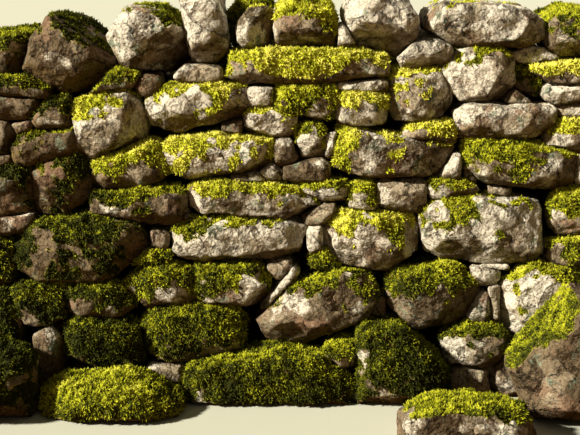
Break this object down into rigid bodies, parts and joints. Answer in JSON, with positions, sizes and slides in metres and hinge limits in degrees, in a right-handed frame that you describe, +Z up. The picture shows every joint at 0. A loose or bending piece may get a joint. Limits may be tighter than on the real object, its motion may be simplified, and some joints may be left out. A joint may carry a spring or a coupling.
{
  "type": "dry stone wall",
  "caption": "Short length of mossy dry stone wall with battered faces of coursed rubble, a finished head at each end, large rounded cope stones and boulders at its foot.",
  "frame": {"origin": "on the ground at the middle of the wall's base, on the underside of the hearting", "axes": "+X along the wall, -Y out of the front face, +Z up"},
  "size_m": [2.1, 1.0876, 1.2484],
  "materials": {
    "cope_stone": "rough fieldstone with pale and dark lichen and moss on its crown",
    "boulder_stone": "rough fieldstone, largely covered in moss",
    "hearting": "packed small rubble",
    "wall_head_stone": "rough fieldstone with lichen",
    "back_stone": "rough fieldstone with lichen and some moss",
    "pinning_stone": "rough small fieldstone",
    "face_stone": "rough fieldstone with lichen patches and moss"
  },
  "bodies": {
    "root": {"apron_boulder_1": "boulder_stone", "apron_boulder_2": "boulder_stone", "apron_boulder_3": "boulder_stone", "apron_boulder_4": "boulder_stone", "back_face_foot": "back_stone", "back_face_lower": "back_stone", "back_face_top": "back_stone", "back_face_upper": "back_stone", "cope_leaning_stone": "cope_stone", "cope_stone_01": "cope_stone", "cope_stone_02": "cope_stone", "cope_stone_03": "cope_stone", "cope_stone_04": "cope_stone", "cope_stone_05": "cope_stone", "cope_stone_06": "cope_stone", "cope_stone_07": "cope_stone", "cope_stone_08": "cope_stone", "cope_stone_09": "cope_stone", "cope_stone_10": "cope_stone", "cope_stone_set_back": "cope_stone", "face_stone_01": "face_stone", "face_stone_02": "face_stone", "face_stone_03": "face_stone", "face_stone_04": "face_stone", "face_stone_05": "face_stone", "face_stone_06": "face_stone", "face_stone_07": "face_stone", "face_stone_08": "face_stone", "face_stone_09": "face_stone", "face_stone_10": "face_stone", "face_stone_11": "face_stone", "face_stone_12": "face_stone", "face_stone_13": "face_stone", "face_stone_14": "face_stone", "face_stone_15": "face_stone", "face_stone_16": "face_stone", "face_stone_17": "face_stone", "face_stone_18": "face_stone", "face_stone_19": "face_stone", "face_stone_20": "face_stone", "face_stone_21": "face_stone", "face_stones_foot": "face_stone", "foot_boulder_1": "boulder_stone", "foot_boulder_2": "boulder_stone", "footing_stones": "pinning_stone", "hearting": "hearting", "left_face_stones_middle": "face_stone", "left_face_stones_top": "face_stone", "pinning_stones_foot": "pinning_stone", "pinning_stones_middle": "pinning_stone", "pinning_stones_top": "pinning_stone", "right_face_stones_middle": "face_stone", "right_face_stones_top": "face_stone", "wall_head_left": "wall_head_stone", "wall_head_right": "wall_head_stone"}
  },
  "joints": []
}
